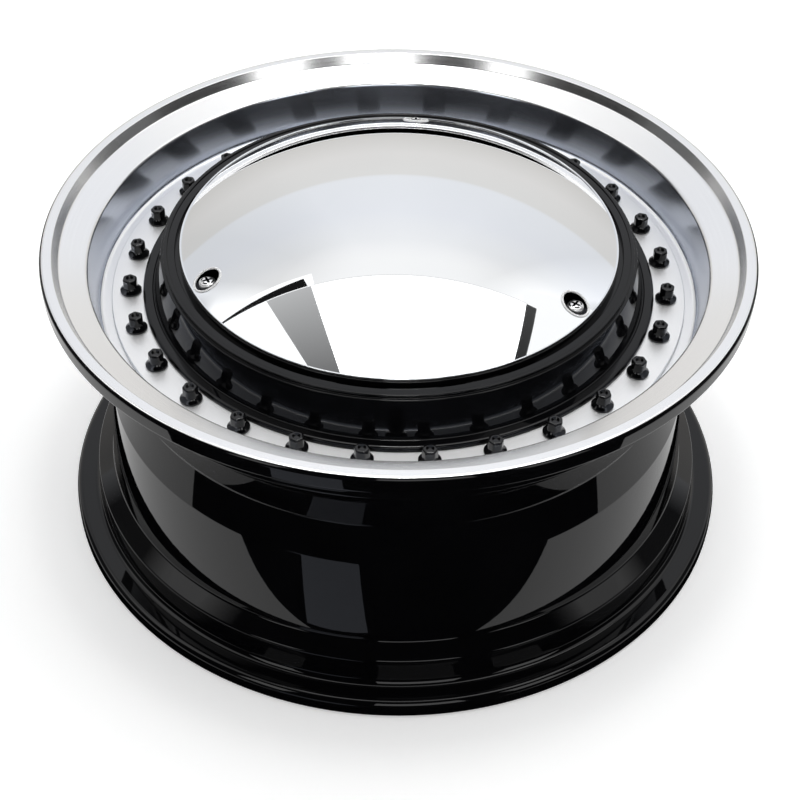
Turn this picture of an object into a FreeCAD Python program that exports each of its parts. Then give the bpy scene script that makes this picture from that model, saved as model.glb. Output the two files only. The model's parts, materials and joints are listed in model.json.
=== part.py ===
import FreeCAD, Part
import os
import re
import Sketcher

# A deep-dish car wheel: a turned rim with a stepped bright lip and a black barrel, a black centre held in
# its dish by a ring of flanged bolts, and a chromed dome over the middle, held by three screws.
# The wheel's axle line is Z. The origin is the middle of the face that meets the car's hub, and +Z points
# to the street side. Lengths are in millimetres and angles in degrees.

SIZES = [
    # The tyre's side of the rim, after the usual 17 x 7.5 J contour.
    ("rim_width", 190.5, "distance between the two bead faces"),
    ("flange_width", 13.0, "width of each flange along the axle"),
    ("seat_dia", 436.6, "diameter of the bead seats"),
    ("flange_rise", 17.3, "height of the flanges over the bead seats"),
    ("hub_offset", 35.0, "hub face in front of the rim's middle plane"),
    ("seat_length", 17.0, "length of each bead seat"),
    ("seat_fall", 1.5, "fall of each bead seat towards the well"),
    ("hump_rise", 1.2, "height of the humps over the seats' inner ends"),
    ("hump_length", 3.5, "length of each side of a hump"),
    ("well_depth", 27.3, "depth of the well under the bead seats"),
    ("well_from_lip", 85.5, "deepest line of the well behind the lip"),
    ("well_length", 25.5, "length of the steep side of the well"),
    ("mid_drop", 18.4, "barrel under the seats where the long slope starts"),
    ("low_drop", 12.0, "barrel under the seats where the long slope ends"),
    ("low_height", 41.0, "end of the long slope over the rear face"),
    ("barrel_wall", 5.5, "wall of the barrel"),
    ("rear_face", 13.0, "width of the flat rear face"),
    ("rear_slope", 5.0, "height of the slope inside the rear face"),
    ("flange_soft", 5.0, "rounding of the flanges' inner corners"),
    ("flange_edge", 3.0, "rounding of the flanges' outer edges"),
    ("hump_soft", 2.0, "rounding of the humps"),
    ("barrel_soft", 6.0, "rounding inside the barrel"),
    # The lip and the dish.
    ("lip_band", 8.0, "flat band round the lip's edge"),
    ("lip_step_run", 3.6, "radial run of the step inside the band"),
    ("lip_step", 7.0, "depth of the step inside the band"),
    ("lip_fall", 7.0, "fall of the broad lip face"),
    ("lip_soft", 2.4, "rounding of the lip's step"),
    ("lip_crest", 0.8, "rounding of the band's inner edge"),
    ("dish_wall", 12.3, "top of the dish wall inside the bead seat"),
    ("dish_crest", 3.5, "rounding between lip face and dish wall"),
    ("dish_lean", 4.7, "lean of the dish wall, in to its foot"),
    ("dish_depth", 43.3, "floor of the dish under the lip"),
    ("dish_soft", 4.0, "rounding between dish wall and floor"),
    ("floor_thick", 9.0, "metal under the seat of the centre"),
    ("floor_width", 8.3, "open floor between dish wall and bolt ring"),
    ("seat_inner", 11.5, "seat of the centre inside the bolt circle"),
    ("fit_gap", 0.15, "clearance between rim and centre"),
    # The valve hole and its relief.
    ("valve_bore", 11.3, "diameter of the valve hole"),
    ("valve_face", 17.0, "diameter of the spot face round the hole"),
    ("valve_face_depth", 1.6, "depth of the spot face"),
    ("valve_height", 6.5, "hole's middle over the floor, at the wall"),
    ("valve_tilt", 28.0, "slant of the hole"),
    ("relief_width", 16.5, "width of the relief under the valve hole"),
    ("relief_reach", 3.0, "relief stops short of the dish wall"),
    # The bolts.
    ("bolt_count", 28, "number of bolts"),
    ("ring_edge", 12.8, "bolt circle inside the ring's edge"),
    ("bolt_flange", 14.2, "diameter of a bolt's flange"),
    ("bolt_rim", 1.6, "straight edge of a bolt's flange"),
    ("bolt_cone", 2.6, "height of the flange's cone"),
    ("bolt_hex", 9.0, "width across the flats of a bolt's head"),
    ("bolt_head", 5.8, "height of the hexagon"),
    ("bolt_crown", 0.8, "height of the head's bevelled top"),
    ("bolt_bevel", 0.7, "width of that bevel"),
    ("bolt_dimple", 4.6, "diameter of the dimple in the head"),
    ("bolt_dimple_depth", 1.6, "depth of the dimple"),
    ("bolt_shank", 7.0, "diameter of a bolt's shank"),
    ("bolt_end", 1.0, "shank stops short of the seat's underside"),
    ("bolt_gap", 1.0, "space between a bolt's flange and the foot"),
    ("hole_gap", 0.1, "clearance round a shank"),
    # The centre.
    ("ring_stand", 2.8, "bolt ring over the floor of the dish"),
    ("ring_thick", 8.8, "thickness of the bolt ring"),
    ("foot_width", 7.5, "width of the rolled foot"),
    ("foot_height", 3.4, "height of the rolled foot"),
    ("foot_soft", 2.2, "rounding of the foot"),
    ("foot_groove", 1.2, "depth of the groove behind the foot"),
    ("wall_height", 29.3, "height of the leaning wall"),
    ("wall_lean", 6.4, "lean of that wall towards the axle"),
    ("ledge_width", 1.8, "ledge on top of the wall"),
    ("bead_height", 2.3, "height of the bead over the ledge"),
    ("bead_width", 2.6, "width of the bead"),
    ("band_drop", 0.9, "flat band under the bead's top"),
    ("band_width", 5.0, "width of the flat band"),
    ("gap_width", 2.8, "width of the gap round the cover's land"),
    ("gap_depth", 2.6, "depth of that gap under the flat band"),
    ("land_rise", 2.2, "cover's land over the flat band"),
    ("land_thick", 8.0, "thickness of the land"),
    ("crown_soft", 0.6, "rounding of the crown's edges"),
    ("bell_wall", 7.0, "thickness of the leaning wall's metal"),
    ("bell_soft", 6.0, "rounding inside the bell"),
    ("web_drop", 4.0, "web's outer end under the bolt ring's face"),
    ("web_thick", 8.0, "thickness of the web"),
    ("pad_dia", 152.0, "diameter of the hub pad"),
    ("pad_thick", 16.0, "thickness of the hub pad"),
    ("pad_flare", 4.0, "slope round the hub pad"),
    ("hub_bore", 73.1, "diameter of the centre bore"),
    ("hub_chamfer", 1.5, "bevel of the centre bore"),
    ("lug_count", 5, "number of wheel bolts"),
    ("lug_circle", 114.3, "diameter of the wheel bolts' circle"),
    ("lug_hole", 14.0, "diameter of a wheel bolt's hole"),
    ("lug_seat", 26.0, "diameter of the conical seat"),
    ("lug_cone", 10.4, "depth of the conical seat"),
    # The cover and its screws.
    ("cover_inset", 0.6, "cover's edge inside the land's edge"),
    ("cover_edge", 2.1, "height of the rolled edge"),
    ("cover_roll", 3.0, "width of the rolled edge"),
    ("cover_crease", 0.5, "depth of the crease inside the rolled edge"),
    ("cover_rise", 38.0, "height of the dome over the crease"),
    ("cover_wall", 1.5, "wall of the cover"),
    ("edge_soft", 0.8, "rounding of the rolled edge"),
    ("screw_count", 3, "number of cover screws"),
    ("screw_turn", 85.5, "direction of the first cover screw"),
    ("screw_inset", 10.6, "cover screws inside the cover's edge"),
    ("screw_pocket", 17.0, "diameter of a screw's pocket"),
    ("screw_floor", 2.5, "metal under a screw's head"),
    ("screw_head", 12.0, "diameter of a screw's head"),
    ("screw_side", 2.4, "straight height of a screw's head"),
    ("screw_top", 2.0, "height of the head's rounded top"),
    ("screw_top_inset", 2.0, "narrowing of that top"),
    ("screw_shank", 6.0, "diameter of a screw's shank"),
    ("screw_end", 1.0, "shank stops short of the land's underside"),
    ("cross_length", 6.6, "length of the cross recess"),
    ("cross_width", 1.5, "width of the cross recess"),
    ("cross_depth", 2.4, "depth of the cross recess"),
    ("land_reach", 9.0, "land inside the cover screws"),
]
WORDS = [word for word, _, _ in SIZES]

# Radii, from the tyre's side inwards.
SEAT_R = "seat_dia / 2"
LIP_R = f"({SEAT_R} + flange_rise)"
BAND_R = f"({LIP_R} - lip_band)"
STEP_R = f"({BAND_R} - lip_step_run)"
DISH_R = f"({SEAT_R} - dish_wall)"
DISH_FOOT_R = f"({DISH_R} - dish_lean)"
RING_R = f"({DISH_FOOT_R} - floor_width)"
BOLT_R = f"({RING_R} - ring_edge)"
RIM_BORE_R = f"({BOLT_R} - seat_inner)"
FOOT_R = f"({BOLT_R} - bolt_flange / 2 - bolt_gap)"
WALL_R = f"({FOOT_R} - foot_width)"
LEDGE_R = f"({WALL_R} - wall_lean)"
BEAD_R = f"({LEDGE_R} - ledge_width)"
FLAT_R = f"({BEAD_R} - bead_width)"
GAP_R = f"({FLAT_R} - band_width)"
LAND_R = f"({GAP_R} - gap_width)"
COVER_R = f"({LAND_R} - cover_inset)"
DOME_R = f"({COVER_R} - cover_roll)"
SCREW_R = f"({COVER_R} - screw_inset)"
LAND_IN_R = f"({SCREW_R} - land_reach)"
PAD_R = "pad_dia / 2"
BORE_R = "hub_bore / 2"

# Heights over the rear face that the wheel stands on.
OVERALL = "(rim_width + 2 * flange_width)"
HUB_Z = f"({OVERALL} / 2 + hub_offset)"
PAD_Z = f"({HUB_Z} + pad_thick)"
STEP_Z = f"({OVERALL} - lip_step)"
CREST_Z = f"({STEP_Z} - lip_fall)"
FRONT_Z = f"({OVERALL} - flange_width)"
WELL_Z = f"({OVERALL} - well_from_lip)"
MID_Z = f"({WELL_Z} - well_length)"
FLOOR_Z = f"({OVERALL} - dish_depth)"
RING_Z = f"({FLOOR_Z} + ring_stand)"
SEAT_Z = f"({RING_Z} - ring_thick)"
UNDER_Z = f"({SEAT_Z} - floor_thick)"
WEB_Z = f"({RING_Z} - web_drop)"
LEDGE_Z = f"({RING_Z} + wall_height)"
BEAD_Z = f"({LEDGE_Z} + bead_height)"
FLAT_Z = f"({BEAD_Z} - band_drop)"
LAND_Z = f"({FLAT_Z} + land_rise)"
CREASE_Z = f"({LAND_Z} + cover_edge - cover_crease)"
HEAD_Z = f"({LAND_Z} + screw_floor)"

doc = FreeCAD.newDocument("car_wheel_rim")
sheet = doc.addObject("Spreadsheet::Sheet", "Sizes")
for row, (word, number, meaning) in enumerate(SIZES, start=1):
    sheet.set(f"A{row}", meaning)
    sheet.set(f"B{row}", str(number))
    sheet.setAlias(f"B{row}", word)
doc.recompute()


def formula(text):
    """Write a formula of size words the way the document reads it."""
    return re.sub(r"[a-z_]{3,}", lambda found: "Sizes." + found[0] if found[0] in WORDS else found[0], text)


def value(text):
    """The present number behind a formula."""
    result = sheet.evalExpression(formula(text))
    return float(getattr(result, "Value", result))


def new_body(label):
    """An empty body whose own zero height is the rear face of the wheel."""
    body = doc.addObject("PartDesign::Body", label)
    body.Label = label
    body.setExpression("Placement.Base.z", formula(f"-{HUB_Z}"))
    return body


def origin_item(body, role):
    """One of a body's own planes or axes."""
    return next(item for item in body.Origin.OriginFeatures if item.Role == role)


def half_section(body, name, corners):
    """Draw a closed outline of corners (radius, height, rounding) on the upright plane."""
    sketch = body.newObject("Sketcher::SketchObject", name)
    sketch.AttachmentSupport = (origin_item(body, "XZ_Plane"), [""])
    sketch.MapMode = "FlatFace"
    points = [FreeCAD.Vector(value(radius), value(height), 0) for radius, height, _ in corners]
    count = len(points)
    for i in range(count):
        sketch.addGeometry(Part.LineSegment(points[i], points[(i + 1) % count]), False)
    for i in range(count):
        sketch.addConstraint(Sketcher.Constraint("Coincident", i, 2, (i + 1) % count, 1))
    for i in range(count):
        across = sketch.addConstraint(Sketcher.Constraint("DistanceX", -1, 1, i, 1, points[i].x))
        sketch.renameConstraint(across, f"radius_{i}")
        up = sketch.addConstraint(Sketcher.Constraint("DistanceY", -1, 1, i, 1, points[i].y))
        sketch.renameConstraint(up, f"height_{i}")
    for i, (_, _, rounding) in enumerate(corners):
        if rounding:
            before = (points[i - 1] - points[i]).normalize()
            after = (points[(i + 1) % count] - points[i]).normalize()
            size = value(rounding)
            arc = sketch.GeometryCount
            reach = size / 2
            sketch.fillet((i - 1) % count, i, points[i] + before * reach, points[i] + after * reach,
                          size, True, True)
            number = sketch.addConstraint(Sketcher.Constraint("Radius", arc, size))
            sketch.renameConstraint(number, f"rounding_{i}")
            sketch.setExpression(f"Constraints.rounding_{i}", formula(rounding))
    for i, (radius, height, _) in enumerate(corners):
        sketch.setExpression(f"Constraints.radius_{i}", formula(radius))
        sketch.setExpression(f"Constraints.height_{i}", formula(height))
    return sketch


def turn(body, name, corners, kind="PartDesign::Revolution"):
    """Turn an outline round the wheel's axle line."""
    sketch = half_section(body, f"{name}_outline", corners)
    feature = body.newObject(kind, name)
    feature.Profile = sketch
    feature.ReferenceAxis = (origin_item(body, "Z_Axis"), [""])
    feature.Angle = 360
    doc.recompute()
    return feature


def primitive(body, kind, name, place, sizes, spin=None):
    """Add or cut a plain solid at a place (x, y, z), with an optional spin about an axis."""
    feature = body.newObject(f"PartDesign::{kind}", name)
    for size, text in sizes.items():
        feature.setExpression(size, formula(text))
    if spin:
        axis, angle = spin
        feature.Placement = FreeCAD.Placement(FreeCAD.Vector(), FreeCAD.Rotation(axis, value(angle)))
        feature.setExpression("Placement.Rotation.Angle", formula(angle))
    for letter, text in zip("xyz", place):
        feature.setExpression(f"Placement.Base.{letter}", formula(text))
    doc.recompute()
    return feature


def round_the_axle(body, name, features, count):
    """Repeat features evenly round the wheel's axle line."""
    pattern = body.newObject("PartDesign::PolarPattern", name)
    pattern.Originals = features
    pattern.Axis = (origin_item(body, "Z_Axis"), [""])
    pattern.Angle = 360
    pattern.setExpression("Occurrences", formula(count))
    body.Tip = pattern
    doc.recompute()
    return pattern


def must_cut(body, before, name):
    """A cut that points the wrong way takes nothing off, so compare volumes."""
    if body.Shape.Volume > before - 1:
        raise RuntimeError(f"{name} removed no metal")


X_AXIS = FreeCAD.Vector(1, 0, 0)
Z_AXIS = FreeCAD.Vector(0, 0, 1)

# Rim: from the rear face round the flange, over the barrel to the lip, down the dish and back inside.
rim = new_body("rim")
REAR_SEAT_Z = "(flange_width + seat_length)"
FRONT_SEAT_Z = f"({FRONT_Z} - seat_length)"
SEAT_END_R = f"({SEAT_R} - seat_fall)"
HUMP_R = f"({SEAT_END_R} + hump_rise)"
WELL_R = f"({SEAT_R} - well_depth)"
MID_R = f"({SEAT_R} - mid_drop)"
LOW_R = f"({SEAT_R} - low_drop)"
REAR_IN_R = f"({LIP_R} - flange_edge - rear_face)"
turn(rim, "rim_turned", [
    (REAR_IN_R, "0", None),
    (LIP_R, "0", "flange_edge"),
    (LIP_R, "flange_width", "flange_soft"),
    (SEAT_R, "flange_width", "flange_soft"),
    (SEAT_END_R, REAR_SEAT_Z, None),
    (HUMP_R, f"{REAR_SEAT_Z} + hump_length", "hump_soft"),
    (LOW_R, "low_height", "hump_soft"),
    (MID_R, MID_Z, None),
    (WELL_R, WELL_Z, None),
    (HUMP_R, f"{FRONT_SEAT_Z} - hump_length", "hump_soft"),
    (SEAT_END_R, FRONT_SEAT_Z, None),
    (SEAT_R, FRONT_Z, "flange_soft"),
    (LIP_R, FRONT_Z, "flange_edge"),
    (LIP_R, OVERALL, "flange_edge"),
    (BAND_R, OVERALL, "lip_crest"),
    (STEP_R, STEP_Z, "lip_soft"),
    (DISH_R, CREST_Z, "dish_crest"),
    (DISH_FOOT_R, FLOOR_Z, "dish_soft"),
    (f"{RING_R} + fit_gap", FLOOR_Z, None),
    (f"{RING_R} + fit_gap", SEAT_Z, None),
    (RIM_BORE_R, SEAT_Z, None),
    (RIM_BORE_R, UNDER_Z, None),
    (f"{WELL_R} - barrel_wall", UNDER_Z, "barrel_soft"),
    (f"{WELL_R} - barrel_wall", WELL_Z, None),
    (f"{MID_R} - barrel_wall", MID_Z, "barrel_soft"),
    (f"{LOW_R} - barrel_wall", "low_height", "barrel_soft"),
    (REAR_IN_R, "rear_slope", None),
])
solid = rim.Shape.Volume
# The bolts start half a step from -Y, so that the valve hole always lies between two of them.
BOLT_X = f"{BOLT_R} * sin(180 / bolt_count)"
BOLT_Y = f"-{BOLT_R} * cos(180 / bolt_count)"
tapped = primitive(rim, "SubtractiveCylinder", "tapped_hole", (BOLT_X, BOLT_Y, f"{UNDER_Z} - 1"),
                   {"Radius": "bolt_shank / 2 + hole_gap", "Height": "floor_thick + 2"})
round_the_axle(rim, "tapped_holes", [tapped], "bolt_count")
must_cut(rim, solid, "tapped_holes")

# The valve hole slants out and back from the foot of the dish wall to the well, below the front hump.
# It lies halfway between two bolts, on the side of -Y.
solid = rim.Shape.Volume
VALVE_Z = f"({FLOOR_Z} + valve_height)"
VALVE_REACH = "(2 * dish_wall)"
VALVE_START = ("0", f"-{DISH_FOOT_R} + {VALVE_REACH} * cos(valve_tilt)",
               f"{VALVE_Z} + {VALVE_REACH} * sin(valve_tilt)")
primitive(rim, "SubtractiveCylinder", "valve_hole", VALVE_START,
          {"Radius": "valve_bore / 2", "Height": f"2 * {VALVE_REACH}"}, (X_AXIS, "90 + valve_tilt"))
must_cut(rim, solid, "valve_hole")
solid = rim.Shape.Volume
FACE_BACK = "(valve_face_depth + valve_face / 2 * tan(valve_tilt))"
primitive(rim, "SubtractiveCylinder", "valve_face", VALVE_START,
          {"Radius": "valve_face / 2", "Height": f"{VALVE_REACH} + {FACE_BACK} - valve_face_depth"},
          (X_AXIS, "90 + valve_tilt"))
must_cut(rim, solid, "valve_face")
solid = rim.Shape.Volume
primitive(rim, "SubtractiveBox", "floor_relief",
          ("-relief_width / 2", f"-{DISH_FOOT_R} + relief_reach", SEAT_Z),
          {"Length": "relief_width", "Width": "floor_width", "Height": "ring_thick"})
must_cut(rim, solid, "floor_relief")

# Centre: the bolt ring, the foot, the leaning wall, the crown with the cover's land, the web and hub pad.
centre = new_body("centre")
SPIGOT_R = f"({RIM_BORE_R} - fit_gap)"
BELL_FOOT_R = f"({WALL_R} - bell_wall)"
BELL_TOP_R = f"({LEDGE_R} - bell_wall)"
turn(centre, "centre_turned", [
    (RING_R, SEAT_Z, None),
    (RING_R, RING_Z, "crown_soft"),
    (FOOT_R, RING_Z, None),
    (FOOT_R, f"{RING_Z} + foot_height", "foot_soft"),
    (f"{WALL_R} + foot_groove", f"{RING_Z} + foot_height", "crown_soft"),
    (WALL_R, f"{RING_Z} + foot_height - foot_groove", None),
    (LEDGE_R, LEDGE_Z, "crown_soft"),
    (BEAD_R, LEDGE_Z, None),
    (BEAD_R, BEAD_Z, "crown_soft"),
    (FLAT_R, BEAD_Z, "crown_soft"),
    (FLAT_R, FLAT_Z, None),
    (GAP_R, FLAT_Z, "crown_soft"),
    (GAP_R, f"{FLAT_Z} - gap_depth", None),
    (LAND_R, f"{FLAT_Z} - gap_depth", None),
    (LAND_R, LAND_Z, "crown_soft"),
    (LAND_IN_R, LAND_Z, None),
    (LAND_IN_R, f"{LAND_Z} - land_thick", None),
    (BELL_TOP_R, f"{LAND_Z} - land_thick", "bell_soft"),
    (BELL_FOOT_R, WEB_Z, "bell_soft"),
    (f"{PAD_R} + pad_flare", PAD_Z, "bell_soft"),
    (BORE_R, PAD_Z, None),
    (BORE_R, f"{HUB_Z} + hub_chamfer", None),
    (f"{BORE_R} + hub_chamfer", HUB_Z, None),
    (PAD_R, HUB_Z, None),
    (f"{PAD_R} + pad_flare", f"{PAD_Z} - web_thick", "bell_soft"),
    (SPIGOT_R, f"{WEB_Z} - web_thick", "foot_soft"),
    (SPIGOT_R, SEAT_Z, None),
])
solid = centre.Shape.Volume
ring_hole = primitive(centre, "SubtractiveCylinder", "ring_hole", (BOLT_X, BOLT_Y, f"{SEAT_Z} - 1"),
                      {"Radius": "bolt_shank / 2 + hole_gap", "Height": "ring_thick + 2"})
round_the_axle(centre, "ring_holes", [ring_hole], "bolt_count")
must_cut(centre, solid, "ring_holes")
solid = centre.Shape.Volume
primitive(centre, "SubtractiveBox", "ring_relief",
          ("-relief_width / 2", f"-{RING_R} - 1", SEAT_Z),
          {"Length": "relief_width", "Width": "ring_edge", "Height": "ring_thick + 1"})
must_cut(centre, solid, "ring_relief")
solid = centre.Shape.Volume
lug_hole = primitive(centre, "SubtractiveCylinder", "lug_hole", ("0", "lug_circle / 2", f"{HUB_Z} - 1"),
                     {"Radius": "lug_hole / 2", "Height": "pad_thick + 2"})
lug_cone = primitive(centre, "SubtractiveCone", "lug_cone", ("0", "lug_circle / 2", f"{PAD_Z} - lug_cone"),
                     {"Radius1": "lug_hole / 2", "Radius2": "lug_seat / 2", "Height": "lug_cone"})
round_the_axle(centre, "lug_holes", [lug_hole, lug_cone], "lug_count")
must_cut(centre, solid, "lug_holes")
solid = centre.Shape.Volume
SCREW_X = f"{SCREW_R} * cos(screw_turn)"
SCREW_Y = f"{SCREW_R} * sin(screw_turn)"
land_hole = primitive(centre, "SubtractiveCylinder", "land_hole",
                      (SCREW_X, SCREW_Y, f"{LAND_Z} - land_thick - 1"),
                      {"Radius": "screw_shank / 2 + hole_gap", "Height": "land_thick + 2"})
round_the_axle(centre, "land_holes", [land_hole], "screw_count")
must_cut(centre, solid, "land_holes")

# Rim bolts: a round flange under a dimpled hexagon head, the shank down through the ring into the rim.
rim_bolts = new_body("rim_bolts")
rim_bolts.AllowCompound = True
BOLT_TOP_Z = f"({RING_Z} + bolt_rim + bolt_cone + bolt_head + bolt_crown)"
SHANK_LENGTH = "(ring_thick + floor_thick - bolt_end)"
bolt_parts = [
    primitive(rim_bolts, "AdditiveCylinder", "bolt_flange", (BOLT_X, BOLT_Y, RING_Z),
              {"Radius": "bolt_flange / 2", "Height": "bolt_rim"}),
    primitive(rim_bolts, "AdditiveCone", "bolt_cone", (BOLT_X, BOLT_Y, f"{RING_Z} + bolt_rim"),
              {"Radius1": "bolt_flange / 2", "Radius2": "bolt_hex / 2", "Height": "bolt_cone"}),
    primitive(rim_bolts, "AdditivePrism", "bolt_head", (BOLT_X, BOLT_Y, f"{RING_Z} + bolt_rim"),
              {"Circumradius": "bolt_hex / 2 / cos(30)", "Height": "bolt_cone + bolt_head"}),
    primitive(rim_bolts, "AdditiveCone", "bolt_crown", (BOLT_X, BOLT_Y, f"{BOLT_TOP_Z} - bolt_crown"),
              {"Radius1": "bolt_hex / 2", "Radius2": "bolt_hex / 2 - bolt_bevel", "Height": "bolt_crown"}),
    primitive(rim_bolts, "AdditiveCylinder", "bolt_shank", (BOLT_X, BOLT_Y, f"{RING_Z} - {SHANK_LENGTH}"),
              {"Radius": "bolt_shank / 2", "Height": SHANK_LENGTH}),
    primitive(rim_bolts, "SubtractiveCone", "bolt_dimple",
              (BOLT_X, BOLT_Y, f"{BOLT_TOP_Z} - bolt_dimple_depth"),
              {"Radius1": "bolt_dimple / 4", "Radius2": "bolt_dimple / 2", "Height": "bolt_dimple_depth"}),
]
round_the_axle(rim_bolts, "bolt_ring", bolt_parts, "bolt_count")

# Cover: a lens with a domed top and a rolled edge, hollowed from below but for a cup at each screw.
DOME_SPHERE = f"(({DOME_R} ^ 2 + cover_rise ^ 2) / (2 * cover_rise))"
DOME_MIDDLE_Z = f"({CREASE_Z} + cover_rise - {DOME_SPHERE})"
HOLLOW_SPHERE = f"({DOME_SPHERE} - cover_wall)"
lens = new_body("cover_lens")
turn(lens, "lens_edge", [
    ("0", LAND_Z, None),
    (COVER_R, LAND_Z, None),
    (COVER_R, f"{LAND_Z} + cover_edge", "edge_soft"),
    (DOME_R, f"{LAND_Z} + cover_edge", "edge_soft"),
    (DOME_R, CREASE_Z, None),
    ("0", CREASE_Z, None),
])
primitive(lens, "AdditiveSphere", "lens_dome", ("0", "0", DOME_MIDDLE_Z),
          {"Radius": DOME_SPHERE, "Angle1": f"acos({DOME_R} / {DOME_SPHERE})"})
solid = lens.Shape.Volume
pocket = primitive(lens, "SubtractiveCylinder", "screw_pocket", (SCREW_X, SCREW_Y, HEAD_Z),
                   {"Radius": "screw_pocket / 2", "Height": "cover_rise"})
cover_hole = primitive(lens, "SubtractiveCylinder", "cover_hole", (SCREW_X, SCREW_Y, f"{LAND_Z} - 1"),
                       {"Radius": "screw_shank / 2 + hole_gap", "Height": "screw_floor + 2"})
round_the_axle(lens, "screw_pockets", [pocket, cover_hole], "screw_count")
must_cut(lens, solid, "screw_pockets")

hollow = new_body("cover_hollow")
primitive(hollow, "AdditiveSphere", "hollow_dome", ("0", "0", DOME_MIDDLE_Z),
          {"Radius": HOLLOW_SPHERE, "Angle1": f"asin(({LAND_Z} - {DOME_MIDDLE_Z}) / {HOLLOW_SPHERE})"})
solid = hollow.Shape.Volume
cup = primitive(hollow, "SubtractiveCylinder", "screw_cup", (SCREW_X, SCREW_Y, f"{LAND_Z} - 1"),
                {"Radius": "screw_pocket / 2 + cover_wall", "Height": "cover_rise"})
round_the_axle(hollow, "screw_cups", [cup], "screw_count")
must_cut(hollow, solid, "screw_cups")

cover = doc.addObject("Part::Cut", "cover")
cover.Label = "cover"
cover.Base = lens
cover.Tool = hollow
doc.recompute()

# Cover screws: pan heads with a cross recess, the shank down into the land of the centre.
cover_screws = new_body("cover_screws")
cover_screws.AllowCompound = True
SCREW_LENGTH = "(screw_floor + land_thick - screw_end)"
CROSS_Z = f"({HEAD_Z} + screw_side + screw_top - cross_depth)"
screw_parts = [
    primitive(cover_screws, "AdditiveCylinder", "screw_head", (SCREW_X, SCREW_Y, HEAD_Z),
              {"Radius": "screw_head / 2", "Height": "screw_side"}),
    primitive(cover_screws, "AdditiveCone", "screw_top", (SCREW_X, SCREW_Y, f"{HEAD_Z} + screw_side"),
              {"Radius1": "screw_head / 2", "Radius2": "screw_head / 2 - screw_top_inset",
               "Height": "screw_top"}),
    primitive(cover_screws, "AdditiveCylinder", "screw_shank",
              (SCREW_X, SCREW_Y, f"{HEAD_Z} - {SCREW_LENGTH}"),
              {"Radius": "screw_shank / 2", "Height": SCREW_LENGTH}),
    primitive(cover_screws, "SubtractiveBox", "cross_along",
              (f"{SCREW_X} - cross_length / 2", f"{SCREW_Y} - cross_width / 2", CROSS_Z),
              {"Length": "cross_length", "Width": "cross_width", "Height": "cross_depth"}),
    primitive(cover_screws, "SubtractiveBox", "cross_over",
              (f"{SCREW_X} - cross_width / 2", f"{SCREW_Y} - cross_length / 2", CROSS_Z),
              {"Length": "cross_width", "Width": "cross_length", "Height": "cross_depth"}),
]
round_the_axle(cover_screws, "screw_ring", screw_parts, "screw_count")

# Nothing is written unless every object built and every piece is whole.
pieces = [rim, centre, rim_bolts, cover, cover_screws]
solids = {"rim_bolts": round(value("bolt_count")), "cover_screws": round(value("screw_count"))}
for item in doc.Objects:
    if "Invalid" in item.State or "Error" in item.State:
        raise RuntimeError(f"{item.Label} did not build")
for piece in pieces:
    if piece.Shape.isNull() or not piece.Shape.isValid():
        raise RuntimeError(f"{piece.Label} is not a valid shape")
    if len(piece.Shape.Solids) != solids.get(piece.Label, 1):
        raise RuntimeError(f"{piece.Label} has {len(piece.Shape.Solids)} solids")
os.makedirs("parts", exist_ok=True)
for piece in pieces:
    piece.Shape.exportStep(f"parts/{piece.Label}.step")
    box = piece.Shape.optimalBoundingBox(False)
    print(f"{piece.Label}: {len(piece.Shape.Solids)} solids, {piece.Shape.Volume / 1000:.1f} cm3, "
          f"z {box.ZMin:.2f} to {box.ZMax:.2f}, width {box.XLength:.2f}")
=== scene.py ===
# %% [markdown]
# # A deep-dish car wheel rim
# The wheel lies on its rear flange: a black barrel, a bright stepped lip with a deep dish, a black
# centre held by a ring of flanged bolts, and a chromed dome over the middle. The CAD solids fix every
# size. They are loaded first and never moved; the pieces below are turned and cut to the same sizes,
# with finer roundings and real finishes.

import json
import math

import bpy
from mathutils import Matrix, Vector

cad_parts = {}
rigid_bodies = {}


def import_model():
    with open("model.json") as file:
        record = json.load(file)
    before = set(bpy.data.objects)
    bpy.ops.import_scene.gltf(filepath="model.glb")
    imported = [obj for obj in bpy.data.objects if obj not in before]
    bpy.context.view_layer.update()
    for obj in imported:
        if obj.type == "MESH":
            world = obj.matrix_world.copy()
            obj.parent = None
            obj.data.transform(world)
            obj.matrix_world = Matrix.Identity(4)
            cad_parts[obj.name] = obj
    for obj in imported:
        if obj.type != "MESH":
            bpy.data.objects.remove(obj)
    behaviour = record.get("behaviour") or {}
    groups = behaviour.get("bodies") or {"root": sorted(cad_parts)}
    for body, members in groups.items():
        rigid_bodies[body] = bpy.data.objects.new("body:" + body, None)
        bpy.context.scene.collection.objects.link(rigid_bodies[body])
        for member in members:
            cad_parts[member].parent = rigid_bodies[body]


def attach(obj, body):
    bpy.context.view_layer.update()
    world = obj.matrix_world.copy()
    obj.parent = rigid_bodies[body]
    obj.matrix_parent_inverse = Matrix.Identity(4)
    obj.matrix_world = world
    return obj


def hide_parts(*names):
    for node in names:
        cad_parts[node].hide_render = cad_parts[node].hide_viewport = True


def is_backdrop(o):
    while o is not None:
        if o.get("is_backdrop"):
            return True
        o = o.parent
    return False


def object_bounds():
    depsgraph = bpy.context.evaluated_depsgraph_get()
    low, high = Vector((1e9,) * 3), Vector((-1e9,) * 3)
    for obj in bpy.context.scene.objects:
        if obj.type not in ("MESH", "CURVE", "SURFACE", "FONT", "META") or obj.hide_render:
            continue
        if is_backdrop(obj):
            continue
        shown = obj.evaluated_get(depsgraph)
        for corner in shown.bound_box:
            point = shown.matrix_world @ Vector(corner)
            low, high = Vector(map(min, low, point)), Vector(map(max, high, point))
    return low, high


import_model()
cad_low, cad_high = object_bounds()
print("CAD box in mm:", [round(v * 1000, 1) for v in (cad_high - cad_low)])

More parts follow.
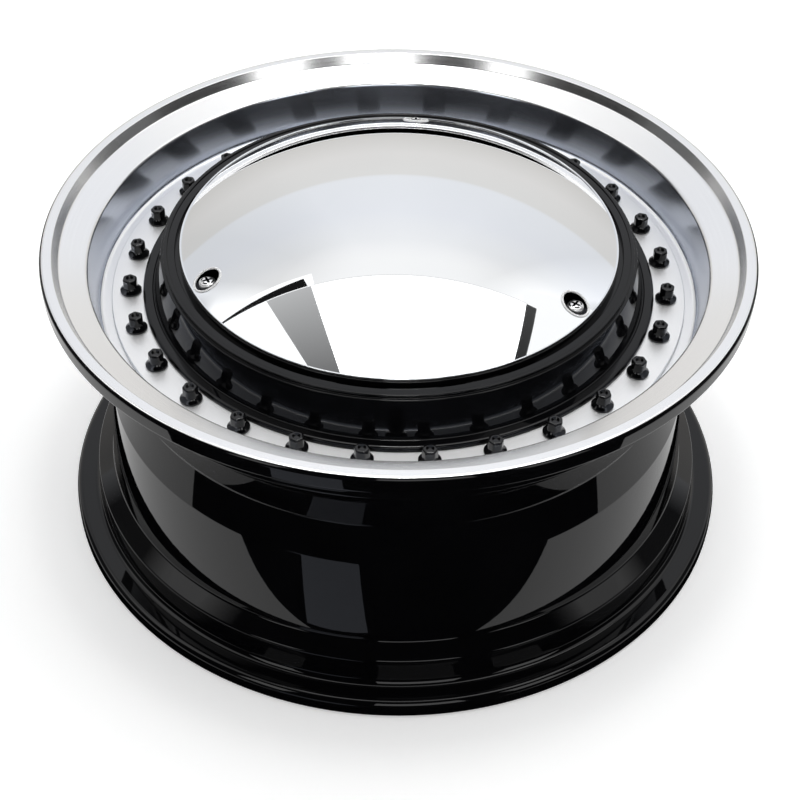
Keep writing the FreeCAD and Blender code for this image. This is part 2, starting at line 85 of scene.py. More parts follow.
# %% [markdown]
# ## The camera
# The photograph looks down on the wheel from in front. Its place was worked out from the ellipses of
# the lip, the rear flange and the cover: 42 degrees down, a little over a metre away, with a longish
# lens. It is made first, so that every later render can be laid beside the photograph.

# %% Camera
LENS_PIXELS = 1585.17   # focal length in pixels of the 800 pixel frame
SENSOR = 36.0           # millimetres
DOWN, ROLL, PAN = 0.7352, 0.0175, -0.0027   # radians: the look down, and small turns of the frame
bpy.ops.object.camera_add(location=(0.0, -0.85529, 0.69299))
camera = bpy.context.object
camera.name = "photo_camera"
camera.data.sensor_width = SENSOR
camera.data.lens = SENSOR * LENS_PIXELS / 800
tilt = Matrix.Rotation(math.pi / 2 - DOWN, 3, "X") @ Matrix.Rotation(ROLL, 3, "Z")
look = Matrix.Rotation(PAN, 3, "Z") @ tilt
camera.rotation_euler = look.to_euler()
bpy.context.scene.camera = camera
print("lens in mm:", round(camera.data.lens, 2))

# %% [markdown]
# ## Turning on a lathe
# Nearly everything on a wheel is turned, so one helper does what a lathe does. It draws a closed
# outline by extruding a single point from corner to corner, rounds the corners that a tool would round,
# and spins the outline about the axle. Heights are given over the face that the wheel stands on, in
# millimetres, as they were measured.

# %% Lathe helper
MM = 0.001
HUB_HEIGHT = 143.25   # the frame's origin is the hub face, this far over the rear flange's face
TURNS = 240           # steps in a full turn, fine enough for a mirror


def start_afresh(piece=None):
    """Leave edit mode, deselect everything and make one piece active."""
    if bpy.context.object and bpy.context.object.mode != "OBJECT":
        bpy.ops.object.mode_set(mode="OBJECT")
    bpy.ops.object.select_all(action="DESELECT")
    if piece:
        piece.select_set(True)
        bpy.context.view_layer.objects.active = piece


def rounded_corners(corners):
    """Points of a closed outline from corners (radius, height, rounding)."""
    points = []
    for i, (radius, height, rounding) in enumerate(corners):
        after = corners[(i + 1) % len(corners)]
        here = Vector((radius, 0, height))
        if not rounding:
            points.append(here)
            continue
        to_before = (Vector((corners[i - 1][0], 0, corners[i - 1][1])) - here).normalized()
        to_after = (Vector((after[0], 0, after[1])) - here).normalized()
        half = to_before.angle(to_after) / 2
        middle = here + (to_before + to_after).normalized() * rounding / math.sin(half)
        first = here + to_before * rounding / math.tan(half) - middle
        last = here + to_after * rounding / math.tan(half) - middle
        steps = max(2, round((math.pi - 2 * half) / math.radians(10)))
        points += [middle + first.slerp(last, k / steps).normalized() * rounding for k in range(steps + 1)]
    return points


def turned(name, corners):
    """Turn a closed outline round the axle into a solid ring."""
    points = [Vector((p.x, 0, p.z - HUB_HEIGHT)) * MM for p in rounded_corners(corners)]
    start_afresh()
    bpy.ops.mesh.primitive_plane_add(size=MM)
    piece = bpy.context.object
    piece.name = piece.data.name = name
    bpy.ops.object.mode_set(mode="EDIT")
    bpy.ops.mesh.select_all(action="SELECT")
    bpy.ops.mesh.merge(type="CENTER")
    bpy.ops.transform.translate(value=points[0])
    for here, there in zip(points, points[1:] + points[:1]):
        bpy.ops.mesh.extrude_region_move(TRANSFORM_OT_translate={"value": there - here})
    bpy.ops.mesh.select_all(action="SELECT")
    bpy.ops.mesh.spin(steps=TURNS, angle=math.tau, center=(0, 0, 0), axis=(0, 0, 1))
    bpy.ops.mesh.select_all(action="SELECT")
    bpy.ops.mesh.remove_doubles(threshold=0.002 * MM)
    bpy.ops.mesh.normals_make_consistent(inside=False)
    bpy.ops.object.mode_set(mode="OBJECT")
    print(f"{name}: {len(points)} outline points, {len(piece.data.polygons)} faces")
    return piece


# %% [markdown]
# Holes are cut with a Boolean modifier, as a drill would do it. Shading is smoothed by angle and
# weighted by area, so that a flat face stays flat next to a small rounding: polished metal shows every
# error there.

# %% Cutting and shading helpers
def cut(piece, cutter):
    """Take a cutter's shape out of a piece."""
    start_afresh(piece)
    bite = piece.modifiers.new("cut", "BOOLEAN")
    bite.operation = "DIFFERENCE"
    bite.solver = "EXACT"
    bite.object = cutter
    bpy.ops.object.modifier_apply(modifier=bite.name)
    bpy.data.objects.remove(cutter)


def even_shading(piece):
    """Smooth the roundings and keep the flats flat."""
    start_afresh(piece)
    bpy.ops.object.shade_smooth_by_angle(angle=math.radians(32))
    weigh = piece.modifiers.new("even_shading", "WEIGHTED_NORMAL")
    weigh.keep_sharp = True
    bpy.ops.object.modifier_apply(modifier=weigh.name)


def copies_round_the_axle(piece, count):
    """Repeat a piece evenly round the axle and join the copies into it."""
    for k in range(1, count):
        start_afresh(piece)
        bpy.ops.object.duplicate(linked=False)
        bpy.ops.transform.rotate(value=math.tau * k / count, orient_axis="Z", center_override=(0, 0, 0))
        bpy.context.object.name = f"{piece.name}_copy_{k}"
    start_afresh(piece)
    for other in bpy.data.objects:
        if other.name.startswith(f"{piece.name}_copy_"):
            other.select_set(True)
    bpy.ops.object.transform_apply(location=True, rotation=True, scale=True)
    bpy.ops.object.join()


def seat(piece):
    """Put a piece's place into its mesh, so that its object sits at the origin."""
    start_afresh(piece)
    bpy.ops.object.transform_apply(location=True, rotation=True, scale=True)


# %% [markdown]
# ## Materials: shared tools
# Colours are written as the hex values a designer would pick, and turned to linear light in one place.
# One function adds a node with its settings and links. Patterns read Object coordinates in metres, so a
# scale of 1000 divided by a size in millimetres gives features of that size.

# %% Material tools
def colour(hex_code):
    """A hex colour as linear red, green, blue and alpha."""
    values = [int(hex_code[i:i + 2], 16) / 255 for i in (1, 3, 5)]
    return [v / 12.92 if v <= 0.04045 else ((v + 0.055) / 1.055) ** 2.4 for v in values] + [1.0]


def add_node(tree, kind, inputs=None, **settings):
    """Add a node; inputs holds plain values or the sockets to link from."""
    node = tree.nodes.new(kind)
    for name, value in settings.items():
        setattr(node, name, value)
    for name, value in (inputs or {}).items():
        if isinstance(value, bpy.types.NodeSocket):
            tree.links.new(value, node.inputs[name])
        else:
            node.inputs[name].default_value = value
    return node


def new_material(name):
    """An empty node material with its shader and output."""
    material = bpy.data.materials.new(name)
    material.use_nodes = True
    tree = material.node_tree
    tree.nodes.clear()
    shader = add_node(tree, "ShaderNodeBsdfPrincipled")
    add_node(tree, "ShaderNodeOutputMaterial", {"Surface": shader.outputs["BSDF"]})
    return material, tree, shader


# %% [markdown]
# ## Gloss black enamel
# The barrel, the centre and the bolts are powder coated black and clear coated. The eye sees almost no
# colour, only sharp reflections that waver a little, because the coat sets with a faint orange peel a
# few millimetres across.

# %% Black enamel
HAZE_MM = 45   # the coat's gloss changes softly over patches of this size


def black_enamel(name, peel_mm, level):
    """A gloss black coat; level sets how much of the studio it mirrors."""
    material, tree, shader = new_material(name)
    place = add_node(tree, "ShaderNodeTexCoord").outputs["Object"]
    haze = add_node(tree, "ShaderNodeTexNoise", {"Vector": place, "Scale": 1000 / HAZE_MM, "Detail": 3.0})
    tint = add_node(tree, "ShaderNodeMix", {"Factor": haze.outputs["Fac"], "A": colour("#050506"),
                                            "B": colour("#0b0b0d")}, data_type="RGBA")
    rough = add_node(tree, "ShaderNodeMapRange", {"Value": haze.outputs["Fac"],
                                                  "To Min": 0.015, "To Max": 0.035})
    peel = add_node(tree, "ShaderNodeTexNoise", {"Vector": place, "Scale": 1000 / peel_mm, "Detail": 1.0})
    bump = add_node(tree, "ShaderNodeBump", {"Height": peel.outputs["Fac"], "Strength": 0.01,
                                             "Distance": 0.0004})
    tree.links.new(tint.outputs["Result"], shader.inputs["Base Color"])
    tree.links.new(rough.outputs["Result"], shader.inputs["Roughness"])
    tree.links.new(bump.outputs["Normal"], shader.inputs["Normal"])
    shader.inputs["IOR"].default_value = 1.5
    shader.inputs["Specular IOR Level"].default_value = level
    return material


# The barrel and the centre read as deep black glass; the small bolts as black with bright glints.
barrel_black = black_enamel("gloss_black_barrel_enamel", 3.5, 0.34)
centre_black = black_enamel("gloss_black_centre_enamel", 3.0, 0.3)
bolt_black = black_enamel("black_oxide_and_lacquer", 1.2, 0.5)
print("black finishes:", barrel_black.name, centre_black.name, bolt_black.name)

# %% [markdown]
# ## Turned and polished aluminium
# The lip, the dish and the bolt ring are cut bright on a lathe and lacquered. The tool leaves fine
# rings round the axle that spread highlights across them, which is what the anisotropy does. The real
# rings are a few hundredths of a millimetre apart; they are drawn at about a millimetre, as fine as the
# render can show.

# %% Bright aluminium
STAIN_MM = 60   # the metal's tone wanders a little over patches of this size


def bright_aluminium(name, tone, dull, roughness, spread, ring_mm, ring_strength):
    """Turned metal; spread is how far the tool's rings smear a highlight across them."""
    material, tree, shader = new_material(name)
    place = add_node(tree, "ShaderNodeTexCoord").outputs["Object"]
    split = add_node(tree, "ShaderNodeSeparateXYZ", {"Vector": place})
    across = add_node(tree, "ShaderNodeCombineXYZ", {"X": split.outputs["X"], "Y": split.outputs["Y"]})
    radius = add_node(tree, "ShaderNodeVectorMath", {"Vector": across.outputs["Vector"]},
                      operation="LENGTH")
    along = add_node(tree, "ShaderNodeCombineXYZ", {"X": radius.outputs["Value"], "Z": split.outputs["Z"]})
    rings = add_node(tree, "ShaderNodeTexNoise", {"Vector": along.outputs["Vector"],
                                                  "Scale": 1000 / ring_mm, "Detail": 2.0})
    stain = add_node(tree, "ShaderNodeTexNoise", {"Vector": place, "Scale": 1000 / STAIN_MM, "Detail": 4.0})
    shade = add_node(tree, "ShaderNodeMath", {0: rings.outputs["Fac"], 1: stain.outputs["Fac"]},
                     operation="MULTIPLY")
    tint = add_node(tree, "ShaderNodeMix", {"Factor": shade.outputs["Value"], "A": colour(tone),
                                            "B": colour(dull)}, data_type="RGBA")
    low, high = roughness
    rough = add_node(tree, "ShaderNodeMapRange", {"Value": rings.outputs["Fac"],
                                                  "From Min": 0.3, "From Max": 0.7,
                                                  "To Min": low, "To Max": high})
    bump = add_node(tree, "ShaderNodeBump", {"Height": rings.outputs["Fac"], "Strength": ring_strength,
                                             "Distance": 0.0002})
    grain = add_node(tree, "ShaderNodeTangent", direction_type="RADIAL", axis="Z")
    tree.links.new(tint.outputs["Result"], shader.inputs["Base Color"])
    tree.links.new(rough.outputs["Result"], shader.inputs["Roughness"])
    tree.links.new(bump.outputs["Normal"], shader.inputs["Normal"])
    tree.links.new(grain.outputs["Tangent"], shader.inputs["Tangent"])
    shader.inputs["Metallic"].default_value = 1.0
    shader.inputs["Anisotropic"].default_value = spread
    shader.inputs["Anisotropic Rotation"].default_value = 0.25
    return material


# The lip is a soft white mirror and the bolt ring an even satin white. The dish wall is the same streaked
# metal, but its darker, bluer tone is painted shade, standing in for the dimmer light deep in the dish.
lip_metal = bright_aluminium("polished_lip_aluminium", "#fafafa", "#f2f2f3",
                             roughness=(0.21, 0.25), spread=0.4, ring_mm=1.0, ring_strength=0.004)
# The dish wall's darker, bluer tone is painted shade.
wall_metal_painted_shade = bright_aluminium("polished_dish_wall_aluminium", "#c8cdd8", "#b4bac6",
                              roughness=(0.17, 0.2), spread=0.9, ring_mm=0.9, ring_strength=0.006)
ring_metal = bright_aluminium("bright_bolt_ring_aluminium", "#f8f8f8", "#f0f0f0",
                              roughness=(0.42, 0.48), spread=0.1, ring_mm=1.2, ring_strength=0.004)
print("bright finishes:", lip_metal.name, wall_metal_painted_shade.name, ring_metal.name)

# %% [markdown]
# ## Chrome plate
# The dome and its screws are chrome plated: a mirror with a faint blue-grey cast. Wiping leaves a thin
# uneven film, seen only as a slight change of sharpness from place to place.

# %% Chrome
FILM_MM = 80   # a wiped film changes over about this distance


def chrome(name, tone, bloom, roughness):
    """A plated mirror that goes from tone to bloom, and from sharp to less sharp, with the film on it."""
    material, tree, shader = new_material(name)
    place = add_node(tree, "ShaderNodeTexCoord").outputs["Object"]
    film = add_node(tree, "ShaderNodeTexNoise", {"Vector": place, "Scale": 1000 / FILM_MM, "Detail": 5.0})
    low, high = roughness
    rough = add_node(tree, "ShaderNodeMapRange", {"Value": film.outputs["Fac"],
                                                  "From Min": 0.35, "From Max": 0.7,
                                                  "To Min": low, "To Max": high})
    tint = add_node(tree, "ShaderNodeMix", {"Factor": film.outputs["Fac"], "A": colour(tone),
                                            "B": colour(bloom)}, data_type="RGBA")
    tree.links.new(tint.outputs["Result"], shader.inputs["Base Color"])
    tree.links.new(rough.outputs["Result"], shader.inputs["Roughness"])
    shader.inputs["Metallic"].default_value = 1.0
    return material


# The dome is a clear mirror and the screw heads a soft one. The screws' cross recesses and the dome's
# pockets get near-black copies of the chrome: painted shade where shadow falls in the hollows.
dome_chrome = chrome("chrome_plate", "#f7f8f9", "#eef0f2", (0.01, 0.03))
screw_chrome = chrome("chromed_screw_steel", "#fafafa", "#f2f2f2", (0.25, 0.35))
# Near-black steel for the screws' cross recesses: painted shade.
recess_painted_shade_steel = chrome("dull_recess_steel", "#121213", "#1c1c1e", (0.3, 0.4))
# Near-black chrome for the inside of the screw pockets: painted shade.
pocket_painted_shade_chrome = chrome("shaded_pocket_chrome", "#1a1a1c", "#2e2e31", (0.1, 0.2))
print("chrome finishes:", dome_chrome.name, screw_chrome.name)


def dress(piece, materials, choose):
    """Give a piece its finishes; choose names the slot from a face's radius and height in millimetres."""
    for material in materials:
        piece.data.materials.append(material)
    for face in piece.data.polygons:
        middle = face.center
        face.material_index = choose(math.hypot(middle.x, middle.y) / MM, middle.z / MM + HUB_HEIGHT)


# %% [markdown]
# ## The rim
# The outer wheel is one casting, turned all over. From the rear flange the outline runs over the bead
# seat and its hump, along the barrel, through the drop well that lets a tyre slip on, and up to the
# stepped lip. Inside the lip the dish wall falls to the floor that carries the centre. Only the lip,
# the wall and the floor are cut bright.

# %% Rim
rim = turned("rim_dressed", [
    (219.6, 0, 1.2), (235.6, 0, 3), (235.6, 13, 5), (218.3, 13, 5), (216.8, 30, None), (218.0, 33.5, 2),
    (206.3, 41, 2), (199.9, 105.5, 3), (191.0, 131, 2), (218.0, 183, 2), (216.8, 186.5, None),
    (218.3, 203.5, 5), (235.6, 203.5, 3), (235.6, 216.5, 3), (227.6, 216.5, 0.8), (224.0, 209.5, 2.4),
    (206.0, 202.5, 3.5), (201.3, 173.2, 4), (193.15, 173.2, None), (193.15, 167.2, None),
    (168.7, 167.2, None), (168.7, 158.2, 0.8), (185.5, 158.2, 6), (185.5, 131, 3),
    (194.4, 105.5, 6), (200.8, 41, 6), (219.6, 5, None),
])


def rim_finish(radius, height):
    """Black outside, bright on the lip (1), the dish wall (2) and the floor (3)."""
    if radius < 206.3 and 174.2 < height < 201.6:
        return 2
    if radius < 202 and 172 < height < 174.2:
        return 3
    if (radius < 218 and height > 201.6) or (radius < 228 and height > 206) or height > 216.2:
        return 1
    return 0


dress(rim, [barrel_black, lip_metal, wall_metal_painted_shade, ring_metal], rim_finish)

# The valve hole slants out and back through the foot of the dish wall, with a spot face for the valve's
# collar. A shallow relief in the floor makes room for the collar.
TILT = math.radians(28)
inward = Vector((0, math.cos(TILT), math.sin(TILT)))
mouth = Vector((0, -201.3, 179.7 - HUB_HEIGHT)) * MM
VALVE_DRILLS = ((5.65, -24.6, 24.6), (8.5, -4.5, 24.6))   # radius, start and end along the slant
for radius, start, end in VALVE_DRILLS:
    start_afresh()
    bpy.ops.mesh.primitive_cylinder_add(vertices=48, radius=radius * MM, depth=(end - start) * MM,
                                        location=mouth + inward * (start + end) / 2 * MM)
    drill = bpy.context.object
    drill.rotation_euler = inward.to_track_quat("Z", "X").to_euler()
    seat(drill)
    cut(rim, drill)
start_afresh()
bpy.ops.mesh.primitive_cube_add(size=MM, location=Vector((0, -194.15, 171.6 - HUB_HEIGHT)) * MM,
                                scale=(16.5, 8.3, 8.8))
relief = bpy.context.object
seat(relief)
cut(rim, relief)
even_shading(rim)
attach(rim, "root")
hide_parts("rim")
print("rim faces:", len(rim.data.polygons))

# %% [markdown]
# ## The centre
# The centre is a second casting that drops into the dish. Its bright ring lies on the floor under the
# bolts. From there a rolled foot and a leaning wall rise to a stepped crown that carries the cover.
# Below, a plain web runs in to the hub pad with its bore and the conical seats of the wheel bolts.

# %% Centre
centre = turned("centre_dressed", [
    (193.0, 167.2, None), (193.0, 176, 0.6), (172.1, 176, None), (172.1, 179.4, 2.2), (165.8, 179.4, 0.6),
    (164.6, 178.2, 0.6), (158.2, 205.3, 0.6), (156.4, 205.3, 0.3), (156.4, 207.6, 0.6), (153.8, 207.6, 0.6),
    (153.8, 206.7, None), (148.8, 206.7, 0.6), (148.8, 204.1, None), (146.0, 204.1, None),
    (146.0, 208.9, 0.6), (125.8, 208.9, None), (125.8, 200.9, None), (151.2, 200.9, 6), (157.6, 172, 6),
    (80.0, 159.25, 6), (36.55, 159.25, 0.6), (36.55, 144.75, None), (38.05, 143.25, None),
    (76.0, 143.25, 0.5), (80.0, 151.25, 6), (168.55, 164, 2.2), (168.55, 167.2, None),
])
dress(centre, [centre_black, ring_metal],
      lambda radius, height: 1 if radius > 172.2 and height > 166 else 0)   # the bolt ring is bright
start_afresh()
bpy.ops.mesh.primitive_cube_add(size=MM, location=Vector((0, -187.6, 172 - HUB_HEIGHT)) * MM,
                                scale=(16.5, 12.8, 10.0))
relief = bpy.context.object
seat(relief)
cut(centre, relief)
LUG_RING, LUG_COUNT = 57.15, 5   # wheel bolts on a 114.3 mm circle
start_afresh()
bpy.ops.mesh.primitive_cylinder_add(vertices=48, radius=7 * MM, depth=20 * MM,
                                    location=Vector((0, LUG_RING, 8)) * MM)
lug = bpy.context.object
lug.name = "lug"
seat(lug)
copies_round_the_axle(lug, LUG_COUNT)
cut(centre, lug)
start_afresh()
bpy.ops.mesh.primitive_cone_add(vertices=48, radius1=7 * MM, radius2=13.6 * MM, depth=11.4 * MM,
                                location=Vector((0, LUG_RING, 11.3)) * MM)
cone = bpy.context.object
cone.name = "cone"
seat(cone)
copies_round_the_axle(cone, LUG_COUNT)
cut(centre, cone)
even_shading(centre)
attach(centre, "root")
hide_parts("centre")
print("centre faces:", len(centre.data.polygons))

# %% [markdown]
# ## The rim bolts
# Each bolt has a round flange that swells up in a cone to a hexagon head with a dimple. One is modelled
# from a disc and a six-sided bar, its edges are rolled with a bevel, and it is copied round the bolt
# circle.

# %% Rim bolts
RING_TOP = (176 - HUB_HEIGHT) * MM
BOLT_COUNT, BOLT_RING = 28, 180.2
HALF_STEP = math.pi / BOLT_COUNT   # the valve hole at -Y lies between two bolts
BOLT = Vector((BOLT_RING * MM * math.sin(HALF_STEP), -BOLT_RING * MM * math.cos(HALF_STEP), RING_TOP))


def grow(middle, steps):
    """Extrude the chosen face upwards about a middle; each step is (millimetres up, widening)."""
    for up, scale in steps:
        bpy.ops.mesh.extrude_region_move(TRANSFORM_OT_translate={"value": (0, 0, up * MM)})
        bpy.ops.transform.resize(value=(scale, scale, 1), center_override=middle)


start_afresh()
bpy.ops.mesh.primitive_circle_add(vertices=40, radius=6.8 * MM, fill_type="NGON", location=BOLT)
flange = bpy.context.object
bpy.ops.object.mode_set(mode="EDIT")
bpy.ops.mesh.select_all(action="SELECT")
grow(BOLT, ((0.3, 7.1 / 6.8), (1.0, 1.0), (0.4, 6.7 / 7.1), (0.8, 5.8 / 6.7), (0.9, 4.95 / 5.8),
            (0.8, 4.5 / 4.95)))
bpy.ops.mesh.select_all(action="SELECT")
bpy.ops.mesh.normals_make_consistent(inside=False)
bpy.ops.object.mode_set(mode="OBJECT")
start_afresh()
CORNER = math.radians(30)   # half of a hexagon's side, seen from its middle
bpy.ops.mesh.primitive_cylinder_add(vertices=6, radius=4.5 / math.cos(CORNER) * MM, depth=9.2 * MM,
                                    location=BOLT + Vector((0, 0, 6.2 * MM)), rotation=(0, 0, CORNER))
head = bpy.context.object
seat(head)
bpy.ops.object.mode_set(mode="EDIT")
bpy.ops.mesh.select_all(action="SELECT")
bpy.ops.mesh.bevel(offset=1.3 * MM, segments=6, affect="EDGES")
bpy.ops.object.mode_set(mode="OBJECT")
start_afresh()
bpy.ops.mesh.primitive_cone_add(vertices=32, radius1=1.6 * MM, radius2=2.7 * MM, depth=1.8 * MM,
                                location=BOLT + Vector((0, 0, 10.1 * MM)))
dimple = bpy.context.object
seat(dimple)
cut(head, dimple)
start_afresh(head)
flange.select_set(True)
bpy.ops.object.transform_apply(location=True, rotation=True, scale=True)
bpy.ops.object.join()
bolts = head
bolts.name = bolts.data.name = "rim_bolts_dressed"
bolts.data.materials.append(bolt_black)
even_shading(bolts)
copies_round_the_axle(bolts, BOLT_COUNT)
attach(bolts, "root")
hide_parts("rim_bolts")
print("bolt faces:", len(bolts.data.polygons))

# %% [markdown]
# ## The cover
# The dome is pressed from sheet and chromed: a shallow cap of a sphere with a rolled edge and a crease
# inside it. Three pockets with rolled rims are sunk into it for the screws. A mirror this large shows
# any uneven shading, so once the pockets are cut, each corner on the cap is given the sphere's own
# normal.

# %% Cover
DOME_EDGE, CREASE, RISE = 144.4, 210.4, 38.1
SPHERE = (DOME_EDGE ** 2 + RISE ** 2) / (2 * RISE)
DOME_MIDDLE = CREASE + RISE - SPHERE


def cap(ball_radius, lean, steps):
    """Points of a cap from the top of a ball, centred with the dome, down to a lean in radians."""
    angles = [lean * k / steps for k in range(steps + 1)]
    return [(ball_radius * math.sin(a), DOME_MIDDLE + ball_radius * math.cos(a), None) for a in angles]


cover = turned("cover_dressed", cap(SPHERE, math.asin(DOME_EDGE / SPHERE), 60) + [
    (144.5, 210.5, None), (144.6, 210.9, None), (145.4, 210.9, 0.35), (145.4, 208.9, 0.2),
    (0, 208.9, None),
])
inside = SPHERE - 1.5   # the sheet is 1.5 mm thick
hollow = turned("hollow", cap(inside, math.acos((200.0 - DOME_MIDDLE) / inside), 40) + [(0, 200.0, None)])
SCREW_TURN, SCREW_RING = math.radians(85.5), 134.8
SCREW = Vector((SCREW_RING * math.cos(SCREW_TURN), SCREW_RING * math.sin(SCREW_TURN), 0)) * MM


def pocket_plug(name, radius, low, high):
    """A plug at the first screw, copied to the other two."""
    middle = Vector((0, 0, ((low + high) / 2 - HUB_HEIGHT) * MM))
    start_afresh()
    bpy.ops.mesh.primitive_cylinder_add(vertices=64, radius=radius * MM, depth=(high - low) * MM,
                                        location=SCREW + middle)
    plug = bpy.context.object
    plug.name = name
    seat(plug)
    copies_round_the_axle(plug, 3)
    return plug


cut(hollow, pocket_plug("cup", 10.0, 190.0, 245.0))
cut(cover, hollow)
cover.data.materials.append(dome_chrome)
cover.data.materials.append(pocket_painted_shade_chrome)
cut(cover, pocket_plug("pocket", 8.5, 211.4, 245.0))
ball = Vector((0, 0, (DOME_MIDDLE - HUB_HEIGHT) * MM))
screw_spots = [Matrix.Rotation(math.tau * k / 3, 3, "Z") @ SCREW for k in range(3)]
# Faces sunk inside a pocket take the near-black chrome: painted shade in the hollows.
for face in cover.data.polygons:
    aside = min((face.center.xy - spot.xy).length for spot in screw_spots)
    sunk = (face.center - ball).length < (SPHERE - 0.3) * MM
    face.material_index = 1 if sunk and aside < 8.55 * MM else 0

# Each pocket's edge is rolled: a thin ring lies in it, leaning with the dome.
lean = math.asin(SCREW_RING / SPHERE)
start_afresh()
bpy.ops.mesh.primitive_torus_add(major_segments=64, minor_segments=12,
                                 major_radius=8.6 * MM, minor_radius=0.75 * MM)
eyelet = bpy.context.object
eyelet.name = "eyelet"
eyelet.location = SCREW + ball + Vector((0, 0, SPHERE * math.cos(lean) * MM))
eyelet.rotation_euler = (0, lean, SCREW_TURN)
eyelet.scale = (1 / math.cos(lean), 1, 1)
seat(eyelet)
copies_round_the_axle(eyelet, 3)
start_afresh(cover)
eyelet.select_set(True)
bpy.ops.object.join()
even_shading(cover)
normals = [Vector(n.vector) for n in cover.data.corner_normals]
for face in cover.data.polygons:
    for corner in face.loop_indices:
        spoke = cover.data.vertices[cover.data.loops[corner].vertex_index].co - ball
        if abs(spoke.length - SPHERE * MM) < 0.02 * MM and face.normal.dot(spoke.normalized()) > 0.97:
            normals[corner] = spoke.normalized()
cover.data.normals_split_custom_set(normals)
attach(cover, "root")
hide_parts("cover")
print("cover faces:", len(cover.data.polygons), "sphere radius in mm:", round(SPHERE, 1))

# %% [markdown]
# ## The cover screws
# Pan-head machine screws with a cross recess sit in the pockets. A disc is drawn up in steps to the
# rounded pan, and two crossed wedges cut the recess.

# %% Cover screws
SEAT = SCREW + Vector((0, 0, (211.4 - HUB_HEIGHT) * MM))
start_afresh()
bpy.ops.mesh.primitive_circle_add(vertices=48, radius=5.5 * MM, fill_type="NGON", location=SEAT)
screws = bpy.context.object
screws.name = screws.data.name = "cover_screws_dressed"
bpy.ops.object.mode_set(mode="EDIT")
bpy.ops.mesh.select_all(action="SELECT")
grow(SEAT, ((2.2, 1.0), (0.6, 0.97), (0.5, 0.92), (0.45, 0.86), (0.4, 0.77), (0.15, 0.6)))
bpy.ops.mesh.select_all(action="SELECT")
bpy.ops.mesh.normals_make_consistent(inside=False)
bpy.ops.object.mode_set(mode="OBJECT")
seat(screws)
for turn in (0, math.pi / 2):
    start_afresh()
    bpy.ops.mesh.primitive_cube_add(size=MM, location=SEAT + Vector((0, 0, 3.6 * MM)),
                                    scale=(6.4, 1.6, 3.0), rotation=(0, 0, turn + SCREW_TURN))
    slot_cutter = bpy.context.object
    seat(slot_cutter)
    cut(screws, slot_cutter)
screws.data.materials.append(screw_chrome)
screws.data.materials.append(recess_painted_shade_steel)
# Faces inside each cross recess take the near-black steel: painted shade.
for face in screws.data.polygons:
    out = face.center - SEAT
    in_recess = math.hypot(out.x, out.y) < 3.8 * MM and 1 * MM < out.z < 3.95 * MM
    face.material_index = 1 if in_recess else 0
even_shading(screws)
copies_round_the_axle(screws, 3)
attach(screws, "root")
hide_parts("cover_screws")
print("screw faces:", len(screws.data.polygons))

# %% [markdown]
# ## The studio
# The wheel was photographed in a white tent. The dome mirrors it, so the dome was used to read it back:
# a softbox overhead that ends in a straight edge a little behind the wheel, a grey flag and a dark gap
# at its sides, pale walls behind, and upright panels in front with dark between them. Each is a plain
# card or part of the world's colour, placed where it was read. The floor is white paper. It is lifted a
# little towards white for the rays that look at it, and the wheel's shadow stays on it.

# %% Floor
FLOOR_LIFT = 0.36
start_afresh()
bpy.ops.mesh.primitive_plane_add(size=60, location=(0, 0, cad_low.z))
floor = bpy.context.object
floor.name = "floor"
paper, tree, shader = new_material("white_paper_floor")
shader.inputs["Base Color"].default_value = colour("#f4f4f4")
shader.inputs["Emission Color"].default_value = colour("#ffffff")
rays = add_node(tree, "ShaderNodeLightPath")
seen = add_node(tree, "ShaderNodeMath", {0: rays.outputs["Is Camera Ray"],
                                         1: rays.outputs["Is Glossy Ray"]}, operation="ADD")
looked_at = add_node(tree, "ShaderNodeMath", {0: seen.outputs["Value"],
                                              1: rays.outputs["Is Transmission Ray"]}, operation="ADD")
lift = add_node(tree, "ShaderNodeMath", {0: looked_at.outputs["Value"], 1: FLOOR_LIFT},
                operation="MULTIPLY", use_clamp=True)
tree.links.new(lift.outputs["Value"], shader.inputs["Emission Strength"])
shader.inputs["Roughness"].default_value = 0.9
shader.inputs["Specular IOR Level"].default_value = 0.0
floor.data.materials.append(paper)
floor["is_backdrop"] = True


# %% Cards
def glowing(name, near, far, front, back):
    """A glow that runs from near to far, its radiance at two places along y."""
    material = bpy.data.materials.new(name)
    material.use_nodes = True
    tree = material.node_tree
    tree.nodes.clear()
    place = add_node(tree, "ShaderNodeTexCoord").outputs["Object"]
    split = add_node(tree, "ShaderNodeSeparateXYZ", {"Vector": place})
    level = add_node(tree, "ShaderNodeMapRange", {"Value": split.outputs["Y"],
                                                  "From Min": front, "From Max": back,
                                                  "To Min": near, "To Max": far})
    glow = add_node(tree, "ShaderNodeEmission", {"Strength": level.outputs["Result"]})
    add_node(tree, "ShaderNodeOutputMaterial", {"Surface": glow.outputs["Emission"]})
    return material, glow


def card(name, corners, near, far=None):
    """A flat card of four corners; its glow runs from near, at its lowest y, to far, at its highest."""
    start_afresh()
    bpy.ops.mesh.primitive_plane_add(size=1)
    piece = bpy.context.object
    piece.name = piece.data.name = name
    for vertex, corner in zip(piece.data.vertices, corners):
        vertex.co = corner
    ends = [corner[1] for corner in corners]
    material, glow = glowing(name, near, near if far is None else far, min(ends), max(ends))
    piece.data.materials.append(material)
    piece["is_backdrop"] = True
    return glow


def level_card(name, corners, height, near, far=None):
    """A card that lies level, its corners given as (x, y)."""
    return card(name, [(x, y, height) for x, y in corners], near, far)


CEILING = 1.6   # metres over the hub
